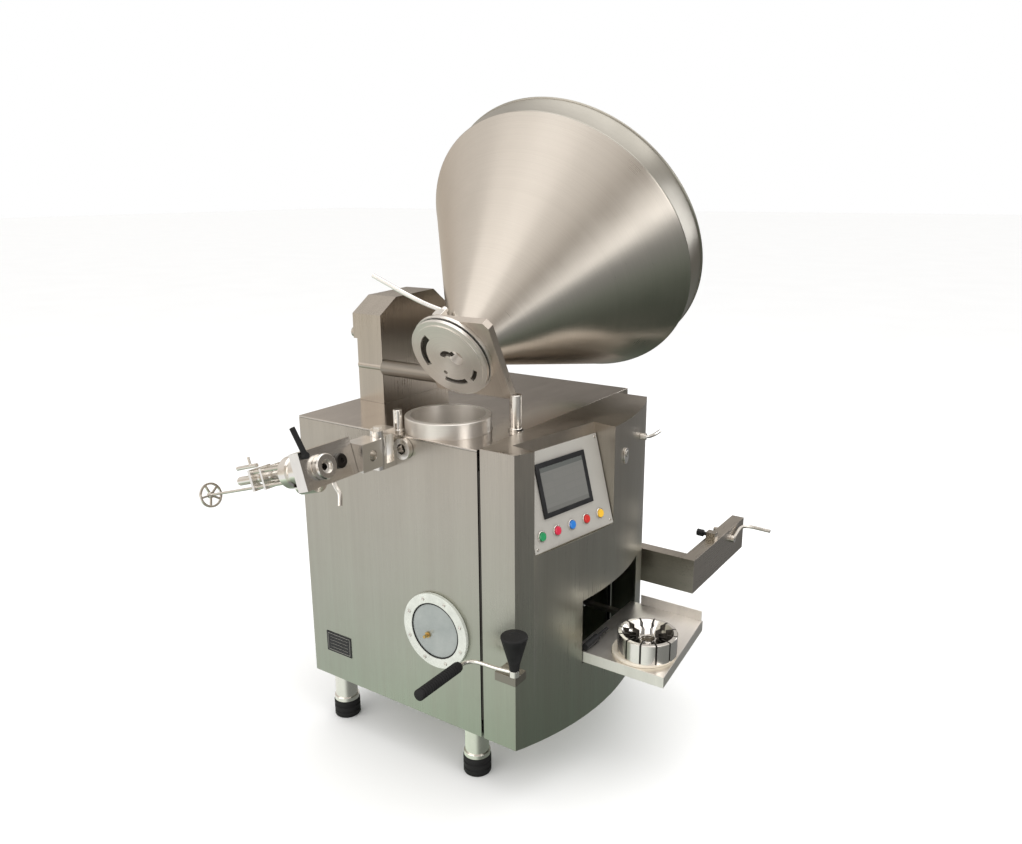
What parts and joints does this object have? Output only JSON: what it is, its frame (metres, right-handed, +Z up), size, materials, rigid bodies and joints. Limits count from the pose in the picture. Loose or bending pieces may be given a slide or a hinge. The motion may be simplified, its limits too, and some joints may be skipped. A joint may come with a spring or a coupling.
{
  "type": "vacuum filling machine",
  "caption": "Stainless vacuum portioning filler with tilting hopper, swing-out twisting head, bowed control door, tray of pump parts and bin lifting arm.",
  "frame": {"origin": "floor level, under the centre of the machine's overall footprint in the pose shown", "axes": "+Z up, -Y towards the operator at the outlet side, +X towards the bowed control door"},
  "size_m": [1.2766, 1.7064, 2.0406],
  "materials": {
    "brushed": "directional brushed stainless steel",
    "polished": "polished stainless steel",
    "machined": "machined steel",
    "black_rubber": "matt black rubber",
    "dark_steel": "dark oiled steel",
    "gearbox_paint": "grey machine enamel",
    "panel_grey": "satin grey control panel",
    "black_plastic": "black moulded plastic",
    "screen": "grey touch screen",
    "clear_rim": "clear acrylic rim",
    "sight_glass": "sight glass",
    "brass": "brass",
    "cream": "cream polymer",
    "green": "green push button",
    "crimson": "crimson push button",
    "blue": "blue push button",
    "red": "red push button",
    "yellow": "yellow push button"
  },
  "bodies": {
    "machine_frame": {"cabinet_wrap": "brushed", "top_deck": "polished", "rear_panel": "brushed", "base_frame": "polished", "foot_front_left": "black_rubber", "foot_front_right": "black_rubber", "foot_rear_left": "black_rubber", "foot_rear_right": "black_rubber", "name_plate": "black_plastic", "sight_ring": "clear_rim", "sight_window": "sight_glass", "sight_fitting": "brass", "pump_housing": "polished", "pump_drive": "gearbox_paint", "lock_stud_left": "polished", "lock_stud_right": "polished", "outlet_port": "polished", "hopper_column": "brushed", "swing_bracket": "polished", "door_hinge": "dark_steel", "arm_bearing": "machined"},
    "pump_rotor_shaft": {"pump_shaft": "machined"},
    "hopper": {"hopper_base_plate": "polished", "pump_cover_disc": "polished", "hopper_cone": "brushed", "hopper_hinge_arm": "brushed", "clamp_block": "machined"},
    "hopper_clamp": {"clamp_lever": "polished"},
    "head_arm": {"swing_arm": "polished"},
    "twist_head": {"head_gearcase": "polished", "horn_bearing_cage": "polished"},
    "horn": {"horn_tube": "polished"},
    "coupling": {"drive_coupling": "dark_steel"},
    "casing_brake": {"brake_lever": "polished"},
    "guide": {"guide_rod": "polished"},
    "head_lock": {"head_handle": "black_rubber"},
    "door": {"control_door": "brushed", "control_panel_plate": "panel_grey", "screen_bezel": "black_plastic", "touch_screen": "screen", "lock_plate": "polished", "knee_pivot_block": "polished", "tray_rails": "machined"},
    "lock": {"lock_barrel": "machined"},
    "latch": {"latch_lever": "polished"},
    "knee": {"knee_lever": "polished", "knee_grip": "black_rubber", "knee_cone": "black_rubber"},
    "tray": {"storage_tray": "brushed", "wear_disc": "cream", "pump_rotor": "polished", "rotor_key": "black_rubber"},
    "bin_arm": {"lift_arm": "brushed"},
    "bin_plunger": {"arm_plunger": "black_plastic"},
    "bin_handle": {"arm_handle": "polished"},
    "press_green": {"button_green": "green"},
    "press_crimson": {"button_crimson": "crimson"},
    "press_blue": {"button_blue": "blue"},
    "press_red": {"button_red": "red"},
    "press_yellow": {"button_yellow": "yellow"}
  },
  "joints": [
    {"name": "pump_spin", "type": "hinge", "parent": "machine_frame", "child": "pump_rotor_shaft", "pos_m": [-0.03268, -0.36879, 1.04], "axis": [0, 0, 1], "continuous": true},
    {"name": "hopper_tilt", "type": "hinge", "parent": "machine_frame", "child": "hopper", "pos_m": [0.00732, -0.23279, 1.202], "axis": [1, 0, 0], "range_deg": [0, 62.8]},
    {"name": "hopper_clamp_turn", "type": "hinge", "parent": "hopper", "child": "hopper_clamp", "pos_m": [-0.07268, -0.33403, 1.41868], "axis": [0, 0.8894, 0.4571], "range_deg": [0, 55]},
    {"name": "head_swing", "type": "hinge", "parent": "machine_frame", "child": "head_arm", "pos_m": [-0.14568, -0.55479, 1.044], "axis": [0, 0, 1], "range_deg": [0, 90]},
    {"name": "head_roll", "type": "hinge", "parent": "head_arm", "child": "twist_head", "pos_m": [-0.16468, -0.68379, 1.044], "axis": [0, 1, 0], "range_deg": [-8, 17]},
    {"name": "coupling_spin", "type": "hinge", "parent": "twist_head", "child": "coupling", "pos_m": [-0.14173, -0.71179, 1.05102], "axis": [0.9563, 0, 0.2924], "continuous": true},
    {"name": "horn_spin", "type": "hinge", "parent": "twist_head", "child": "horn", "pos_m": [-0.14651, -0.77579, 1.04956], "axis": [0.9563, 0, 0.2924], "continuous": true},
    {"name": "brake_turn", "type": "hinge", "parent": "twist_head", "child": "casing_brake", "pos_m": [-0.43304, -0.77579, 1.00169], "axis": [0.9563, 0, 0.2924], "range_deg": [-60, 60]},
    {"name": "guide_slide", "type": "slide", "parent": "twist_head", "child": "guide", "axis": [0.9563, 0, 0.2924], "range_m": [0, 0.06]},
    {"name": "head_lock_turn", "type": "hinge", "parent": "twist_head", "child": "head_lock", "pos_m": [-0.15172, -0.82779, 1.09397], "axis": [0.9563, 0, 0.2924], "range_deg": [0, 70]},
    {"name": "door_swing", "type": "hinge", "parent": "machine_frame", "child": "door", "pos_m": [0.17532, -0.49879, 0.63], "axis": [0, 0, -1], "range_deg": [0, 52]},
    {"name": "lock_turn", "type": "hinge", "parent": "door", "child": "lock", "pos_m": [0.38102, -0.02179, 0.982], "axis": [0.9965, 0.0834, 0], "range_deg": [0, 90]},
    {"name": "latch_turn", "type": "hinge", "parent": "door", "child": "latch", "pos_m": [0.35522, 0.13221, 0.996], "axis": [0.9693, 0.246, 0], "range_deg": [0, 90]},
    {"name": "knee_press", "type": "hinge", "parent": "door", "child": "knee", "pos_m": [0.32032, -0.54679, 0.468], "axis": [0, 0, 1], "range_deg": [0, 18], "stiffness_Nm_per_rad": 6},
    {"name": "tray_slide", "type": "slide", "parent": "door", "child": "tray", "axis": [-1, 0, 0], "range_m": [0, 0.265]},
    {"name": "bin_arm_lift", "type": "hinge", "parent": "machine_frame", "child": "bin_arm", "pos_m": [0.32132, 0.37821, 0.443], "axis": [1, 0, 0], "range_deg": [0, 95]},
    {"name": "bin_plunger_pull", "type": "slide", "parent": "bin_arm", "child": "bin_plunger", "axis": [-1, 0, 0], "range_m": [0, 0.012], "stiffness_N_per_m": 600},
    {"name": "bin_handle_turn", "type": "hinge", "parent": "bin_arm", "child": "bin_handle", "pos_m": [0.48032, 0.72221, 0.462], "axis": [1, 0, 0], "range_deg": [0, 60]},
    {"name": "press_green_slide", "type": "slide", "parent": "door", "child": "press_green", "axis": [-0.947, 0.1764, -0.2685], "range_m": [0, 0.003], "stiffness_N_per_m": 400},
    {"name": "press_crimson_slide", "type": "slide", "parent": "door", "child": "press_crimson", "axis": [-0.947, 0.1764, -0.2685], "range_m": [0, 0.003], "stiffness_N_per_m": 400},
    {"name": "press_blue_slide", "type": "slide", "parent": "door", "child": "press_blue", "axis": [-0.947, 0.1764, -0.2685], "range_m": [0, 0.003], "stiffness_N_per_m": 400},
    {"name": "press_red_slide", "type": "slide", "parent": "door", "child": "press_red", "axis": [-0.947, 0.1764, -0.2685], "range_m": [0, 0.003], "stiffness_N_per_m": 400},
    {"name": "press_yellow_slide", "type": "slide", "parent": "door", "child": "press_yellow", "axis": [-0.947, 0.1764, -0.2685], "range_m": [0, 0.003], "stiffness_N_per_m": 400}
  ],
  "couplings": [
    {"joint": "horn_spin", "follows": "coupling_spin", "ratio": -0.5}
  ]
}
